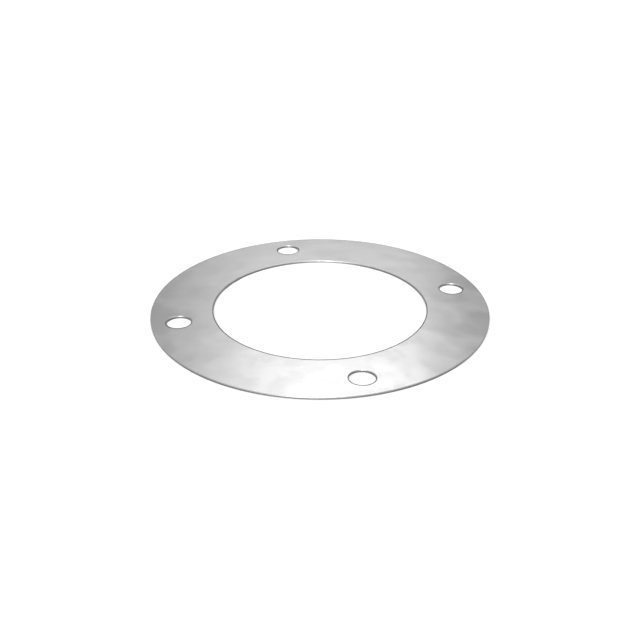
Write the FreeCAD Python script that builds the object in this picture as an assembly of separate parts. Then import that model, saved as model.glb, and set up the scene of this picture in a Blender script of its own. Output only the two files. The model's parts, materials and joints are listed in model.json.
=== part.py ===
"""Flat ring gasket, blanked from 1 mm stainless sheet: one plain piece with a central bore and
four bolt holes on one circle.

The ring is cut in one hit of a compound die. Every cut edge, outside, bore and holes alike, so has
its rolled side on the same face, here the top one: the face rolls over into the cut, a straight
polished land follows, then a rougher torn zone that falls back by the die's clearance, and last a
lightly broken lower edge.

Frame: the ring's axis is Z, its lower face lies at Z = 0, and the first bolt hole is on +X.
"""

import math
import os

import FreeCAD
import Part

# Sheet and bore, in millimetres.
sheet_thickness = 1.0
bore_diameter = 88.8

# Bolt holes.
bolt_circle_diameter = 117.8
bolt_hole_diameter = 10.0
bolt_hole_count = 4

# Metal left between a bolt hole and the rim.
rim_margin = 6.1

# The rim is trimmed to leave that margin outside the bolt holes, which makes it 140 mm across.
outer_diameter = bolt_circle_diameter + bolt_hole_diameter + 2 * rim_margin

# Form of a sheared edge. Shearing scales with the sheet, so these are shares of its thickness.
roll_over_width_share = 0.40
roll_over_depth_share = 0.06
polished_land_share = 0.40
die_clearance_share = 0.04

# Tumbling breaks the sharp lower edge by this much, whatever the sheet.
lower_break = 0.04

# How far a cutting tool stands out above and below the sheet.
tool_overrun = 2.0

axis_direction = FreeCAD.Vector(0, 0, 1)


def sheared_edge(wall_radius, into_metal):
    """Meridian of one sheared edge, from the lower face up to the top face.

    wall_radius is the radius of the polished land, and into_metal is +1 where the metal lies
    outside it, as round a hole, and -1 where it lies inside, as at the rim.
    Returns the edges and the two end points.
    """
    roll_width = roll_over_width_share * sheet_thickness
    roll_depth = roll_over_depth_share * sheet_thickness
    land_top = sheet_thickness - roll_depth
    land_bottom = land_top - polished_land_share * sheet_thickness
    setback = die_clearance_share * sheet_thickness

    def point(depth, height):
        return FreeCAD.Vector(wall_radius + into_metal * depth, 0, height)

    # The roll-over is an arc that leaves the top face tangentially and ends on the land.
    roll_radius = (roll_width**2 + roll_depth**2) / (2 * roll_depth)
    half_turn = 0.5 * math.asin(roll_width / roll_radius)
    arc_middle = point(
        roll_width - roll_radius * math.sin(half_turn),
        sheet_thickness - roll_radius * (1 - math.cos(half_turn)),
    )

    foot = point(setback + lower_break, 0)
    above_foot = point(setback, lower_break)
    land_low = point(0, land_bottom)
    land_high = point(0, land_top)
    on_top = point(roll_width, sheet_thickness)
    edges = [
        Part.LineSegment(foot, above_foot).toShape(),
        Part.LineSegment(above_foot, land_low).toShape(),
        Part.LineSegment(land_low, land_high).toShape(),
        Part.Arc(land_high, arc_middle, on_top).toShape(),
    ]
    return edges, foot, on_top


def turned_solid(edges):
    """Solid turned about the Z axis from the edges of a closed meridian."""
    meridian = Part.Face(Part.Wire(Part.__sortEdges__(edges)))
    return meridian.revolve(FreeCAD.Vector(0, 0, 0), axis_direction, 360)


def plain_ring():
    """Ring with its two sheared edges, before the bolt holes are pierced."""
    bore_edges, bore_foot, bore_top = sheared_edge(bore_diameter / 2, +1)
    rim_edges, rim_foot, rim_top = sheared_edge(outer_diameter / 2, -1)
    faces = [
        Part.LineSegment(bore_foot, rim_foot).toShape(),
        Part.LineSegment(bore_top, rim_top).toShape(),
    ]
    return turned_solid(bore_edges + rim_edges + faces)


def bolt_hole_tool():
    """Solid of the air in one bolt hole, on the Z axis, longer than the sheet is thick."""
    edges, foot, on_top = sheared_edge(bolt_hole_diameter / 2, +1)
    corners = [
        on_top,
        FreeCAD.Vector(on_top.x, 0, sheet_thickness + tool_overrun),
        FreeCAD.Vector(0, 0, sheet_thickness + tool_overrun),
        FreeCAD.Vector(0, 0, -tool_overrun),
        FreeCAD.Vector(foot.x, 0, -tool_overrun),
        foot,
    ]
    outline = [
        Part.LineSegment(start, end).toShape()
        for start, end in zip(corners, corners[1:])
    ]
    return turned_solid(edges + outline)


def gasket_ring():
    """The finished gasket: the ring pierced by bolt holes evenly spaced on their circle."""
    tool = bolt_hole_tool()
    tool.translate(FreeCAD.Vector(bolt_circle_diameter / 2, 0, 0))
    tools = []
    for index in range(bolt_hole_count):
        one_tool = tool.copy()
        turn = 360.0 * index / bolt_hole_count
        one_tool.rotate(FreeCAD.Vector(0, 0, 0), axis_direction, turn)
        tools.append(one_tool)
    return plain_ring().cut(tools)


def main():
    os.makedirs("parts", exist_ok=True)
    shape = gasket_ring()
    solid = shape.Solids[0]
    print(
        "gasket_ring: solids", len(shape.Solids),
        "valid", solid.isValid(),
        "faces", len(solid.Faces),
        "volume mm3", round(solid.Volume, 2),
    )
    solid.exportStep("parts/gasket_ring.step")


main()
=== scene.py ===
"""Ring gasket of thin stainless sheet, lying on a white studio floor.

The ring is one piece: two cold-rolled faces joined by sheared edges at the rim, the bore and the
bolt holes. Lengths are worked out in millimetres and written to the meshes in metres.
"""

import json
import math

import bmesh
import bpy
import numpy as np
from mathutils import Matrix, Vector


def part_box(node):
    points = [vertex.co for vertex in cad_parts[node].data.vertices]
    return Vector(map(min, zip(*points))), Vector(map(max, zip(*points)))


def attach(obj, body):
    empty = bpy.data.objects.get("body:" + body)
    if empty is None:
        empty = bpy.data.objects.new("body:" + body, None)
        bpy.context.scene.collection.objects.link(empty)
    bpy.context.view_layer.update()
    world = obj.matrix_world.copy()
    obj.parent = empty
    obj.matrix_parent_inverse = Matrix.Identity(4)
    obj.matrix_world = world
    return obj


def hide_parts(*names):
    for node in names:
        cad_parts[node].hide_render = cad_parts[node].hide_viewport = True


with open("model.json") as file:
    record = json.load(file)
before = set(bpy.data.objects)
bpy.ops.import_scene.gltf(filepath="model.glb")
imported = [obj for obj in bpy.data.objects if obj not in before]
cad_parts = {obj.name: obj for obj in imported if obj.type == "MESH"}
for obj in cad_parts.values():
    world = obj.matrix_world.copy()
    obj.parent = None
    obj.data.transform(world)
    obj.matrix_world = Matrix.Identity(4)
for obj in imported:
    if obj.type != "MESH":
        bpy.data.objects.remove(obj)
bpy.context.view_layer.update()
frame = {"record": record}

MM = 0.001

# Sizes of the blank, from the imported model, in millimetres.
mounts = {mount["name"]: mount["dims"] for mount in frame["record"]["mounts"]}
ring_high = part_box("gasket_ring")[1]
rim_radius = round(ring_high[0] / MM, 3)
sheet_thickness = round(ring_high[2] / MM, 3)
bore_radius = mounts["bore"]["r_mm"]
bolt_circle_radius = mounts["bolt_holes"]["pcd_mm"] / 2
bolt_hole_radius = mounts["bolt_holes"]["hole_r_mm"]
bolt_hole_count = mounts["bolt_holes"]["count"]

# Form of a sheared edge from the top down, in millimetres. The land's bottom is a height.
roll_over_width = 0.40
roll_over_depth = 0.06
land_rounding = 0.12
land_bottom = 0.54
torn_hollow = 0.015
die_clearance = 0.04
lower_break = 0.04

# Waves of the face: how far they reach down and how long they are, in millimetres, how many there
# are, how much their sum is raised, and the seed of their draws.
wave_height = 0.03
wave_lengths = (14.0, 42.0)
wave_count = 14
wave_gain = 2.2
wave_seed = 11

# Points along each side of the quarter of sheet round one bolt hole, and rings across it.
rim_steps = 112
side_steps = 16
bore_steps = 64
upper_rings = 40
lower_rings = 14

# Points up the torn zone, and along each of the two arcs above it.
torn_points = 5
arc_points = 7

# Half the angle of a quarter, and the bend above which an edge is shaded sharp, in degrees.
half_quarter = 45
sharp_bend = 35

# Points closer together than this become one, in metres.
weld_distance = 2e-6

FACE_SLOT = 0
CUT_SLOT = 1


def sheared_meridian():
    """Section of a sheared edge, from its foot on the lower face to the start of the top face.

    Returns the depth into the metal behind the polished land, the height, and the slot of each
    span. The torn zone falls back in a straight line with a shallow sine hollow. The land is
    upright. Above it a small circle of radius land_rounding touches the land and the roll-over
    from inside, and the roll-over is a circle that touches the top face.
    """
    torn = np.linspace(0, 1, torn_points)
    torn_depth = die_clearance * (1 - torn) + torn_hollow * np.sin(math.pi * torn)
    torn_height = lower_break + (land_bottom - lower_break) * torn

    roll_radius = (roll_over_width**2 + roll_over_depth**2) / (2 * roll_over_depth)
    roll_centre = sheet_thickness - roll_radius
    reach = roll_radius - land_rounding
    meeting_tilt = math.asin((roll_over_width - land_rounding) / reach)
    rounding_centre = roll_centre + reach * math.cos(meeting_tilt)
    rounding_tilt = np.linspace(math.pi / 2, meeting_tilt, arc_points)
    rounding_depth = land_rounding * (1 - np.sin(rounding_tilt))
    rounding_height = rounding_centre + land_rounding * np.cos(rounding_tilt)
    roll_tilt = np.linspace(meeting_tilt, 0, arc_points)[1:]
    roll_depth = roll_over_width - roll_radius * np.sin(roll_tilt)
    roll_height = roll_centre + roll_radius * np.cos(roll_tilt)

    depth = np.concatenate(
        [[die_clearance + lower_break], torn_depth, rounding_depth, roll_depth]
    )
    height = np.concatenate([[0.0], torn_height, rounding_height, roll_height])
    slots = np.full(len(depth) - 1, CUT_SLOT)
    slots[-len(roll_depth):] = FACE_SLOT
    return depth, height, slots


def grid_quads(rows, columns, flip=False):
    """Quads of a grid of points stored row by row."""
    corner = (np.arange(rows - 1)[:, None] * columns + np.arange(columns - 1)).ravel()
    quads = np.stack([corner, corner + 1, corner + columns + 1, corner + columns], axis=1)
    return quads[:, ::-1] if flip else quads


def edge_strip(centre, wall_radius, into_metal, angles):
    """One sheared edge, turned about an upright axis through centre.

    At each angle the section stands on the circle of wall_radius, and its depth runs outwards
    where into_metal is +1, as round a hole, and inwards where it is -1, as at the rim. Returns
    the points, the quads and their slots, and the plan: how far each point lies along the edge
    and up the section.
    """
    depth, height, slots = sheared_meridian()
    radius = wall_radius + into_metal * depth[:, None]
    x = centre[0] + radius * np.cos(angles)
    y = centre[1] + radius * np.sin(angles)
    z = np.broadcast_to(height[:, None], x.shape)
    points = np.stack([x, y, z], axis=-1).reshape(-1, 3)
    run = np.concatenate([[0], np.cumsum(np.hypot(np.diff(depth), np.diff(height)))])
    along = np.broadcast_to(wall_radius * angles, x.shape)
    across = np.broadcast_to(run[:, None], x.shape)
    plan = np.stack([along, across], axis=-1).reshape(-1, 2)
    quads = grid_quads(len(depth), len(angles), flip=into_metal > 0)
    return points, quads, np.repeat(slots, len(angles) - 1), plan


def quarter_angles():
    """Polar angles of the rim and bore points of the quarter round the hole on +X."""
    rim = np.radians(np.linspace(-half_quarter, half_quarter, rim_steps + 1))
    bore = np.radians(np.linspace(half_quarter, -half_quarter, bore_steps + 1))
    return rim, bore


def quarter_outline(inset):
    """Closed outline of one quarter of the sheet, inset from the rim and the bore.

    It runs along the rim arc, in along one radial side, back along the bore arc, and out along
    the other side.
    """
    rim, bore = quarter_angles()
    outer, inner = rim_radius - inset, bore_radius + inset
    across = np.linspace(outer, inner, side_steps + 1)[1:-1]
    half = math.radians(half_quarter)
    arc_out = outer * np.stack([np.cos(rim), np.sin(rim)], axis=1)
    side_in = across[:, None] * np.array([math.cos(half), math.sin(half)])
    arc_in = inner * np.stack([np.cos(bore), np.sin(bore)], axis=1)
    side_out = across[::-1, None] * np.array([math.cos(half), -math.sin(half)])
    return np.concatenate([arc_out, side_in, arc_in, side_out])


def hole_angles():
    """Angles round a bolt hole of the points that face the quarter's outline.

    Each is the mean of two angles: the direction to its outline point, and an even division of
    the sector that its side of the outline takes up.
    """
    outline = quarter_outline(0.0)
    offset = outline - np.array([bolt_circle_radius, 0.0])
    sight = np.unwrap(np.arctan2(offset[:, 1], offset[:, 0]))
    corners = np.cumsum([0, rim_steps, side_steps, bore_steps, side_steps])
    closed = np.append(sight, sight[0] + 2 * math.pi)
    even = np.interp(np.arange(len(sight)), corners, closed[corners])
    return (sight + even) / 2


def face_quarter(inset, rings, height, upwards):
    """Flat face of one quarter: rings of points eased from the hole's edge to the outline.

    A point lies on the straight line between its hole point and its outline point, at a share
    (1 - cos(pi t)) / 2 of the way, which packs the rings towards both edges. Returns what
    edge_strip does, with a plan seen from above.
    """
    outline = quarter_outline(inset)
    angles = hole_angles()
    reach = bolt_hole_radius + inset
    hole = np.stack(
        [bolt_circle_radius + reach * np.cos(angles), reach * np.sin(angles)], axis=1
    )
    share = (1 - np.cos(math.pi * np.linspace(0, 1, rings + 1))) / 2
    flat = hole + share[:, None, None] * (outline - hole)
    flat = np.concatenate([flat, flat[:, :1]], axis=1)
    z = np.full(flat.shape[:2] + (1,), height)
    points = np.concatenate([flat, z], axis=2).reshape(-1, 3)
    quads = grid_quads(rings + 1, flat.shape[1], flip=upwards)
    return points, quads, np.full(len(quads), FACE_SLOT), flat.reshape(-1, 2)


def quarter_turn(points, index):
    """Points turned about Z by whole quarters, exactly."""
    cosine, sine = ((1, 0), (0, 1), (-1, 0), (0, -1))[index]
    turned = points.copy()
    turned[:, 0] = cosine * points[:, 0] - sine * points[:, 1]
    turned[:, 1] = sine * points[:, 0] + cosine * points[:, 1]
    return turned


def face_waves(x, y):
    """Share of the wave height by which the face lies low at each point, from 0 to 1.

    It is a sum of sine waves with seeded directions, lengths and phases, each as high as it is
    long. The waves seldom crest together, so the sum over its bound is raised by wave_gain. It
    is then clipped to -1..1 and brought to 0..1.
    """
    seeded = np.random.default_rng(wave_seed)
    total = np.zeros_like(x)
    bound = 0.0
    for _ in range(wave_count):
        heading = seeded.uniform(0, math.pi)
        length = seeded.uniform(*wave_lengths)
        phase = seeded.uniform(0, 2 * math.pi)
        run = x * math.cos(heading) + y * math.sin(heading)
        total += length * np.sin(2 * math.pi * run / length + phase)
        bound += length
    return 0.5 + 0.5 * np.clip(wave_gain * total / bound, -1, 1)


def ring_blank():
    """The whole ring as one closed mesh, from quarters of face and strips of edge."""
    rim, bore = quarter_angles()
    round_hole = hole_angles()
    round_hole = np.append(round_hole, round_hole[0] + 2 * math.pi)
    foot_inset = die_clearance + lower_break
    hole_centre = (bolt_circle_radius, 0.0)
    quarter = [
        face_quarter(roll_over_width, upper_rings, sheet_thickness, True),
        face_quarter(foot_inset, lower_rings, 0.0, False),
        edge_strip((0.0, 0.0), rim_radius, -1, rim),
        edge_strip((0.0, 0.0), bore_radius, +1, bore[::-1]),
        edge_strip(hole_centre, bolt_hole_radius, +1, round_hole),
    ]
    blocks = [
        (quarter_turn(points, index), quads, slots, plan)
        for index in range(bolt_hole_count)
        for points, quads, slots, plan in quarter
    ]
    starts = np.cumsum([0] + [len(block[0]) for block in blocks])
    points = np.concatenate([block[0] for block in blocks])
    quads = np.concatenate([block[1] + start for block, start in zip(blocks, starts)])
    slots = np.concatenate([block[2] for block in blocks])
    plan = np.concatenate([block[3] for block in blocks])

    low = face_waves(points[:, 0], points[:, 1])
    points[:, 2] -= wave_height * low * points[:, 2] / sheet_thickness

    mesh = bpy.data.meshes.new("ring_blank")
    mesh.from_pydata((points * MM).tolist(), [], quads.tolist())
    mesh.polygons.foreach_set("material_index", slots.astype(np.int32))
    plan_layer = mesh.uv_layers.new(name="plan")
    plan_layer.data.foreach_set("uv", (plan[quads.ravel()] * MM).astype(np.float32).ravel())

    work = bmesh.new()
    work.from_mesh(mesh)
    bmesh.ops.remove_doubles(work, verts=work.verts, dist=weld_distance)
    bmesh.ops.recalc_face_normals(work, faces=work.faces)
    work.to_mesh(mesh)
    work.free()
    mesh.polygons.foreach_set("use_smooth", np.ones(len(mesh.polygons), dtype=bool))
    mesh.set_sharp_from_angle(angle=math.radians(sharp_bend))
    mesh.update()
    return mesh


# Small helpers for laying out nodes.
def place(tree, kind, inputs=(), **settings):
    """A node of one kind, with its inputs by label or number and its properties by name."""
    node = tree.nodes.new(kind)
    for name, value in settings.items():
        setattr(node, name, value)
    for key, value in dict(inputs).items():
        socket = node.inputs[key]
        if isinstance(value, bpy.types.NodeSocket):
            tree.links.new(value, socket)
        else:
            socket.default_value = value
    return node


def maths(tree, operation, *values):
    """Output of one Math node, its inputs in order."""
    node = place(tree, "ShaderNodeMath", enumerate(values), operation=operation)
    return node.outputs["Value"]


def vector_maths(tree, operation, inputs):
    """Outputs of one Vector Math node."""
    return place(tree, "ShaderNodeVectorMath", inputs, operation=operation).outputs


def ramp(tree, value, ends, to_ends=(0.0, 1.0)):
    """Value carried from one range of values to another, eased at both ends."""
    inputs = {
        "Value": value,
        "From Min": ends[0],
        "From Max": ends[1],
        "To Min": to_ends[0],
        "To Max": to_ends[1],
    }
    node = place(tree, "ShaderNodeMapRange", inputs, interpolation_type="SMOOTHSTEP")
    return node.outputs["Result"]


def noise(tree, vector, scale, detail, roughness, output="Fac"):
    """One output of a Noise Texture."""
    inputs = {"Vector": vector, "Scale": scale, "Detail": detail, "Roughness": roughness}
    return place(tree, "ShaderNodeTexNoise", inputs).outputs[output]


def stretched(tree, vector, scale):
    """The vector with each axis scaled."""
    return place(tree, "ShaderNodeMapping", {"Vector": vector, "Scale": scale}).outputs["Vector"]


def packed_noise(tree, vector, packing, detail, roughness):
    """Noise that is packed more tightly along one axis than along another."""
    return noise(tree, stretched(tree, vector, packing), 1.0, detail, roughness)


def mixed(tree, factor, first, second):
    """Colour between two colours: inputs 6 and 7 and output 2 of a Mix node."""
    inputs = {0: factor, 6: first, 7: second}
    return place(tree, "ShaderNodeMix", inputs, data_type="RGBA").outputs[2]


def blended(tree, factor, first, second):
    """Value between two values: inputs 2 and 3 and output 0 of a Mix node."""
    inputs = {0: factor, 2: first, 3: second}
    return place(tree, "ShaderNodeMix", inputs, data_type="FLOAT").outputs[0]


def bumped(tree, height, strength, distance, **over):
    """Normal of one Bump node, whose distance is in metres, over another normal if given."""
    inputs = {"Strength": strength, "Distance": distance, "Height": height, **over}
    return place(tree, "ShaderNodeBump", inputs).outputs["Normal"]


def grey(level):
    """Opaque grey."""
    return (level, level, level, 1.0)


def between_greys(tree, factor, levels):
    """Grey between two levels."""
    return mixed(tree, factor, grey(levels[0]), grey(levels[1]))


FLOAT = "NodeSocketFloat"
VECTOR = "NodeSocketVector"


def new_group(name, takes, gives):
    """A shader node group with named sockets, and its two end nodes."""
    group = bpy.data.node_groups.new(name, "ShaderNodeTree")
    for label, kind in takes.items():
        group.interface.new_socket(label, in_out="INPUT", socket_type=kind)
    for label, kind in gives.items():
        group.interface.new_socket(label, in_out="OUTPUT", socket_type=kind)
    start = group.nodes.new("NodeGroupInput")
    end = group.nodes.new("NodeGroupOutput")
    return group, start, end


def grouped(tree, group, **inputs):
    """Outputs of a node that holds one of the shared groups."""
    return place(tree, "ShaderNodeGroup", inputs, node_tree=group).outputs


# How far the circles that the painted shade beside each cut follows are moved, towards the
# camera's side, and how much narrower that painted shade is round the rim, in millimetres.
shade_shift = (-0.065, -0.241)
rim_slack = 0.19


def cut_distance_group():
    """Distance in the plane from the nearest cut edge, in millimetres.

    It is measured from circles of the size of the rim, the bore and the holes, moved by
    shade_shift towards the camera's side, so the painted shade that follows it is wider on one
    side of each cut. Round the rim it is rim_slack more, so the painted shade there is narrower.
    """
    group, start, end = new_group("distance from a cut", {"Place": VECTOR}, {"Distance": FLOAT})
    flat = stretched(group, start.outputs["Place"], (1.0, 1.0, 0.0))

    def reach(x, y):
        """Distance from a circle's centre, once it has been moved."""
        centre = (x + shade_shift[0], y + shade_shift[1], 0.0)
        return vector_maths(group, "DISTANCE", {0: flat, 1: centre})["Value"]

    middle = reach(0.0, 0.0)
    from_rim = maths(group, "SUBTRACT", rim_radius + rim_slack, middle)
    from_bore = maths(group, "SUBTRACT", middle, bore_radius)
    nearest = maths(group, "MINIMUM", from_rim, from_bore)
    for index in range(bolt_hole_count):
        turn = 2 * math.pi * index / bolt_hole_count
        hole = reach(bolt_circle_radius * math.cos(turn), bolt_circle_radius * math.sin(turn))
        from_hole = maths(group, "SUBTRACT", hole, bolt_hole_radius)
        nearest = maths(group, "MINIMUM", nearest, from_hole)
    group.links.new(nearest, end.inputs["Distance"])
    return group


# Scale, detail and roughness of the clouding's noises, where its size is 1, how far the first of
# them bends the others, and the values between which the blur turns over.
bend_noise = (0.7, 1.0, 0.5)
cloud_noise = (0.55, 3.5, 0.5)
blur_noise = (0.35, 2.0, 0.5)
bend_reach = (0.8, 0.8, 0.0)
blur_turn = (0.3, 0.7)

# How many dishes lie in that size, and how softly they meet.
dish_scale = 0.62
dish_softness = 0.35


def clouding_group():
    """Clouding where handling and rolling have dulled the sheet, and dishes in its face.

    Place over Size is bent by a coarse noise. Clouds and Blur are noises of that place. Dishes
    is the smoothed distance from the nearest of many scattered points, so each one is a rounded
    lobe with a soft ridge where it meets the next.
    """
    group, start, end = new_group(
        "clouding",
        {"Place": VECTOR, "Size": FLOAT},
        {"Clouds": FLOAT, "Blur": FLOAT, "Dishes": FLOAT},
    )
    shrink = maths(group, "DIVIDE", 1.0, start.outputs["Size"])
    sized = vector_maths(group, "SCALE", {0: start.outputs["Place"], "Scale": shrink})["Vector"]
    bend = noise(group, sized, *bend_noise, output="Color")
    warped = vector_maths(group, "MULTIPLY_ADD", {0: bend, 1: bend_reach, 2: sized})["Vector"]

    clouds = noise(group, warped, *cloud_noise)
    blur = ramp(group, noise(group, warped, *blur_noise), blur_turn)
    dishes = place(
        group,
        "ShaderNodeTexVoronoi",
        {"Vector": warped, "Scale": dish_scale, "Smoothness": dish_softness},
        feature="SMOOTH_F1",
    )
    group.links.new(clouds, end.inputs["Clouds"])
    group.links.new(blur, end.inputs["Blur"])
    group.links.new(dishes.outputs["Distance"], end.inputs["Dishes"])
    return group


# Packing along and across the rolled lines, their detail and roughness, and the scale, detail and
# roughness of the pebbling, per millimetre.
line_noise = ((0.12, 4.0, 1.0), 4.0, 0.6)
pebble_noise = (2.2, 3.0, 0.6)


def rolled_grain_group():
    """Fine lines along X that the mill's rolls leave, and a matte pebbling between them."""
    group, start, end = new_group(
        "rolled grain", {"Place": VECTOR}, {"Lines": FLOAT, "Pebble": FLOAT}
    )
    lines = packed_noise(group, start.outputs["Place"], *line_noise)
    pebble = noise(group, start.outputs["Place"], *pebble_noise)
    group.links.new(lines, end.inputs["Lines"])
    group.links.new(pebble, end.inputs["Pebble"])
    return group


def metal(name):
    """A plain metal material.

    Returns it with its node tree, its shader, and a place on the object in millimetres.
    """
    material = bpy.data.materials.new(name)
    material.use_nodes = True
    tree = material.node_tree
    shader = tree.nodes["Principled BSDF"]
    shader.inputs["Metallic"].default_value = 1.0
    where = tree.nodes.new("ShaderNodeTexCoord").outputs["Object"]
    place_mm = stretched(tree, where, (1 / MM, 1 / MM, 1 / MM))
    return material, tree, shader, place_mm


# The clouds of the face: their size and how far they are moved over it, in millimetres, their
# greys, and the values of their noise between which grey and gloss turn over.
cloud_size = 6.0
clouding_shift = (-270.0, 4.0, 0.0)
cloud_greys = (0.614, 0.648)
grey_turn = (0.38, 0.62)
gloss_turn = (0.455, 0.545)

# Painted shade beside each cut, for the shadow and dark reflection at the cut edges: its grey,
# and the distances between which it fades, in millimetres.
painted_shade_grey = 0.06
painted_shade_fade = (0.28, 0.46)

# Roughness of the face over its blur, and what a shiny cloud and a rolled line add to it.
face_roughness = (0.195, 0.235)
cloud_roughness = -0.030
line_roughness = 0.06

# Scale, detail and roughness of the noise that ripples the face, per millimetre, and the height
# of a dish beside it.
ripple_noise = (0.09, 1.0, 0.4)
dish_height = 0.6

# Strength of each bump of the face, and its distance in metres.
ripple_bump = (1.0, 4.5e-5)
pebble_bump = (1.0, 1.0e-6)


def cold_rolled_face(groups):
    """Finish of both faces: satin cold-rolled sheet, clouded, with painted shade beside each cut.
    """
    material, tree, shader, place_mm = metal("cold rolled face")
    moved = vector_maths(tree, "ADD", {0: place_mm, 1: clouding_shift})["Vector"]
    clouding = grouped(tree, groups["clouding"], Place=moved, Size=cloud_size)
    grain = grouped(tree, groups["grain"], Place=place_mm)
    from_cut = grouped(tree, groups["cut distance"], Place=place_mm)["Distance"]

    light = ramp(tree, clouding["Clouds"], grey_turn)
    sheet = between_greys(tree, light, cloud_greys)
    # Painted shade: a dark line beside each cut, for the shadow and dark reflection at the cut
    # edges.
    painted_edge_shade = ramp(tree, from_cut, painted_shade_fade, (1.0, 0.0))
    tone = mixed(tree, painted_edge_shade, sheet, grey(painted_shade_grey))
    tree.links.new(tone, shader.inputs["Base Color"])

    shiny = ramp(tree, clouding["Clouds"], gloss_turn)
    dull = ramp(tree, clouding["Blur"], (0.0, 1.0), face_roughness)
    dull = maths(tree, "MULTIPLY_ADD", shiny, cloud_roughness, dull)
    dull = maths(tree, "MULTIPLY_ADD", grain["Lines"], line_roughness, dull)
    tree.links.new(dull, shader.inputs["Roughness"])

    waves = noise(tree, place_mm, *ripple_noise)
    waves = maths(tree, "MULTIPLY_ADD", clouding["Dishes"], dish_height, waves)
    ripple = bumped(tree, waves, *ripple_bump)
    fine = bumped(tree, grain["Pebble"], *pebble_bump, Normal=ripple)
    tree.links.new(fine, shader.inputs["Normal"])
    return material


# Bands of a cut wall, in millimetres: how far the land's ragged lower edge wanders, over what
# height the polish sets in across it, and where the bright crest below the roll-over starts.
ragged_height = 0.24
polish_start = (-0.02, 0.05)
crest_start = (0.80, 0.88)

# Their greys, of which the torn zone's is partly its own rough grey and partly painted shade at
# the wall's foot, the roughness of the torn zone and of the land, and what scoring and the crest
# add to it.
torn_and_foot_shade_greys = (0.09, 0.16)
land_greys = (0.22, 0.32)
crest_grey = 0.32
wall_roughness = (0.48, 0.40)
scoring_roughness = 0.10
crest_roughness = -0.08

# Packing along the edge and up the wall, per millimetre, then detail and roughness of each noise.
ragged_noise = ((0.9, 0.4, 1.0), 3.0, 0.6)
scoring_noise = ((14.0, 0.5, 1.0), 3.0, 0.65)
pit_noise = ((9.0, 7.0, 1.0), 3.0, 0.7)

# Strength of the wall's bump, and its distance in metres.
cut_bump = (0.8, 6.0e-6)


def sheared_cut():
    """Finish of a cut wall: a burnished land with upright scoring, above a torn zone whose grey is
    partly painted shade at the wall's foot.
    """
    material, tree, shader, place_mm = metal("sheared cut")
    height = place(tree, "ShaderNodeSeparateXYZ", {"Vector": place_mm}).outputs["Z"]
    plan = place(tree, "ShaderNodeUVMap", uv_map="plan").outputs["UV"]
    plan_mm = stretched(tree, plan, (1 / MM, 1 / MM, 1.0))
    ragged = packed_noise(tree, plan_mm, *ragged_noise)
    scoring = packed_noise(tree, plan_mm, *scoring_noise)
    pits = packed_noise(tree, plan_mm, *pit_noise)

    lowest = land_bottom - ragged_height / 2
    torn_line = maths(tree, "MULTIPLY_ADD", ragged, ragged_height, lowest)
    burnished = ramp(tree, maths(tree, "SUBTRACT", height, torn_line), polish_start)
    crest = ramp(tree, height, crest_start)

    # Torn zone: its own rough grey, darkened further as painted shade at the foot of the wall.
    torn = between_greys(tree, pits, torn_and_foot_shade_greys)
    land = between_greys(tree, scoring, land_greys)
    tone = mixed(tree, crest, mixed(tree, burnished, torn, land), grey(crest_grey))
    tree.links.new(tone, shader.inputs["Base Color"])

    dull = ramp(tree, burnished, (0.0, 1.0), wall_roughness)
    dull = maths(tree, "MULTIPLY_ADD", scoring, scoring_roughness, dull)
    dull = maths(tree, "MULTIPLY_ADD", crest, crest_roughness, dull)
    tree.links.new(dull, shader.inputs["Roughness"])

    relief = bumped(tree, blended(tree, burnished, pits, scoring), *cut_bump)
    tree.links.new(relief, shader.inputs["Normal"])
    return material


# The floor's half width and how far it lies below the ring, in metres, and the grey, roughness
# and glow of its paper.
floor_reach = 6.0
floor_gap = 1.0e-5
paper_grey = 0.84
paper_roughness = 0.9
paper_glow = 0.20


def pale_floor():
    """White studio floor. It takes the ring's shadow, and shows white where it is lit.

    Its paper glows a little to the camera and in the metal, and lights nothing.
    """
    corners = [(-1, -1), (1, -1), (1, 1), (-1, 1)]
    points = [(x * floor_reach, y * floor_reach, -floor_gap) for x, y in corners]
    mesh = bpy.data.meshes.new("studio_floor")
    mesh.from_pydata(points, [], [(0, 1, 2, 3)])
    floor = bpy.data.objects.new("studio_floor", mesh)
    bpy.context.scene.collection.objects.link(floor)

    material = bpy.data.materials.new("white paper")
    material.use_nodes = True
    tree = material.node_tree
    shader = tree.nodes["Principled BSDF"]
    shader.inputs["Base Color"].default_value = grey(paper_grey)
    shader.inputs["Roughness"].default_value = paper_roughness
    shader.inputs["Specular IOR Level"].default_value = 0.0
    shader.inputs["Emission Color"].default_value = grey(1.0)
    path = tree.nodes.new("ShaderNodeLightPath")
    seen = maths(tree, "MAXIMUM", path.outputs["Is Camera Ray"], path.outputs["Is Glossy Ray"])
    seen = maths(tree, "MAXIMUM", seen, path.outputs["Is Transmission Ray"])
    glow = maths(tree, "MULTIPLY", seen, paper_glow)
    tree.links.new(glow, shader.inputs["Emission Strength"])
    mesh.materials.append(material)


# The photograph's camera: its azimuth round the ring, where 0 looks along +Y as for the other
# views, its elevation, its distance in metres, how far it tips below the ring's centre, and its
# focal length in millimetres.
camera_azimuth = math.radians(-15.0)
camera_elevation = math.radians(27.5129)
camera_distance = 0.354605
camera_dip = math.radians(0.9061)
camera_lens = 47.5515


def direction(azimuth, elevation):
    """Unit vector from the ring's centre towards an azimuth and an elevation, in radians."""
    return Vector(
        (
            math.sin(azimuth) * math.cos(elevation),
            -math.cos(azimuth) * math.cos(elevation),
            math.sin(elevation),
        )
    )


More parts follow.
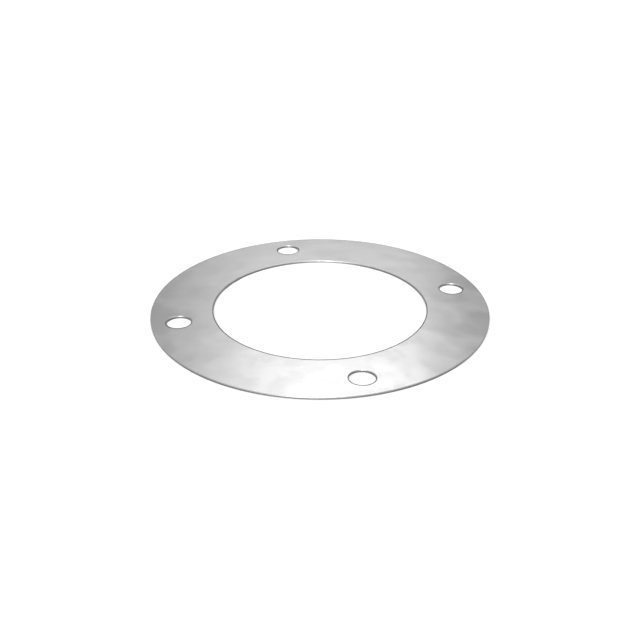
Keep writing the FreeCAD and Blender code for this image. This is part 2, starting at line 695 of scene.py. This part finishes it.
def photo_camera():
    """Camera at the photograph's distance, height and focal length, tipped a little down."""
    data = bpy.data.cameras.new("photo_camera")
    data.sensor_width = 36.0
    data.lens = camera_lens
    data.clip_start = 0.01
    data.clip_end = 30.0
    camera = bpy.data.objects.new("photo_camera", data)
    bpy.context.scene.collection.objects.link(camera)
    back = direction(camera_azimuth, camera_elevation)
    facing = (-back).to_track_quat("-Z", "Y").to_matrix().to_4x4()
    tip = Matrix.Rotation(-camera_dip, 4, "X")
    camera.matrix_world = Matrix.Translation(back * camera_distance) @ facing @ tip
    bpy.context.scene.camera = camera


# Radiance of the tent's walls, low down and high up, of its roof, and of the white sweep that
# runs all round its foot.
back_wall_light = (0.40, 1.0)
side_wall_light = (0.80, 0.60)
roof_light = 1.0
sweep_light = 1.0

# Up shares between which each wall turns from its low light to its high light, the roof starts,
# and the sweep ends.
back_wall_rise = (0.50, 0.68)
side_wall_rise = (0.30, 0.80)
roof_start = (0.80, 0.96)
sweep_end = (0.10, 0.16)

# How straight away from the camera, seen from above, the back wall starts, and the away shares
# between which its glows set in.
back_wall_start = (0.89, 0.97)
glow_start = (0.0, 0.3)

# Lights behind the back wall: radiance, middle, half width and fade in side shares, then the
# height where each starts and how far it takes to reach its full light, in up shares.
back_glows = [
    (0.461, -0.005, 0.112, 0.050, 0.207, 0.300),
    (0.878, 0.022, 0.078, 0.050, 0.456, 0.038),
]

# Least level share, which keeps a direction straight up from a division by nothing.
least_level = 0.001


def drawn_to(tree, light, target, share):
    """Light moved towards a target by a share of the way."""
    return maths(tree, "MULTIPLY_ADD", maths(tree, "SUBTRACT", target, light), share, light)


def studio_surround():
    """Light tent round the ring: a back wall, side walls, a roof and a white sweep at its foot.

    A direction is split into side, away and up shares, as seen by the photograph's camera. Each
    light is its radiance times smooth steps in those shares, so the tent has no hard edges.
    """
    world = bpy.data.worlds.new("studio surround")
    bpy.context.scene.world = world
    world.use_nodes = True
    tree = world.node_tree
    towards = tree.nodes.new("ShaderNodeTexCoord").outputs["Generated"]
    turned = place(
        tree,
        "ShaderNodeVectorRotate",
        {"Vector": towards, "Angle": -camera_azimuth},
        rotation_type="Z_AXIS",
    ).outputs["Vector"]
    shares = place(tree, "ShaderNodeSeparateXYZ", {"Vector": turned}).outputs
    side, away, up = shares["X"], shares["Y"], shares["Z"]

    level = maths(tree, "MULTIPLY_ADD", side, side, maths(tree, "MULTIPLY", away, away))
    level = maths(tree, "MAXIMUM", maths(tree, "SQRT", level), least_level)
    backward = ramp(tree, maths(tree, "DIVIDE", away, level), back_wall_start)
    back = ramp(tree, up, back_wall_rise, back_wall_light)
    sides = ramp(tree, up, side_wall_rise, side_wall_light)
    light = drawn_to(tree, sides, back, backward)

    ahead = ramp(tree, away, glow_start)
    for radiance, middle, half, fade, bottom, rise in back_glows:
        offset = maths(tree, "ABSOLUTE", maths(tree, "SUBTRACT", side, middle))
        glow = ramp(tree, offset, (half, half + fade), (radiance, 0.0))
        glow = maths(tree, "MULTIPLY", glow, ahead)
        glow = maths(tree, "MULTIPLY", glow, ramp(tree, up, (bottom, bottom + rise)))
        light = maths(tree, "ADD", light, glow)

    light = drawn_to(tree, light, sweep_light, ramp(tree, up, sweep_end, (1.0, 0.0)))
    light = drawn_to(tree, light, roof_light, ramp(tree, up, roof_start))
    sky = tree.nodes["Background"]
    sky.inputs["Color"].default_value = grey(1.0)
    tree.links.new(light, sky.inputs["Strength"])


# Two suns behind the camera, at one azimuth: elevation, angle across and strength of each.
sun_azimuth = math.radians(-22.5)
shadow_sun = (math.radians(40.0), math.radians(5.0), 1.47)
glint_sun = (math.radians(4.0), math.radians(5.0), 8.0)


def soft_sun(name, elevation, angle, strength):
    """Soft-edged sun behind the photograph's camera, at a height of its own."""
    data = bpy.data.lights.new(name, "SUN")
    data.energy = strength
    data.angle = angle
    sun = bpy.data.objects.new(name, data)
    bpy.context.scene.collection.objects.link(sun)
    towards = direction(sun_azimuth, elevation)
    sun.rotation_euler = towards.to_track_quat("Z", "Y").to_euler()
    return sun


groups = {
    "cut distance": cut_distance_group(),
    "clouding": clouding_group(),
    "grain": rolled_grain_group(),
}
ring_mesh = ring_blank()
ring_mesh.materials.append(cold_rolled_face(groups))
ring_mesh.materials.append(sheared_cut())
ring = bpy.data.objects.new("stainless_ring", ring_mesh)
bpy.context.scene.collection.objects.link(ring)
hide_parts("gasket_ring")
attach(ring, "root")

pale_floor()
photo_camera()
studio_surround()

# One sun draws the ring's shadow on the floor and leaves no glare on the metal. The other brings
# up the cut walls that face it, and lights no floor.
soft_sun("shadow_sun", *shadow_sun).visible_glossy = False
soft_sun("glint_sun", *glint_sun).visible_diffuse = False
bpy.context.scene.view_settings.view_transform = "Standard"
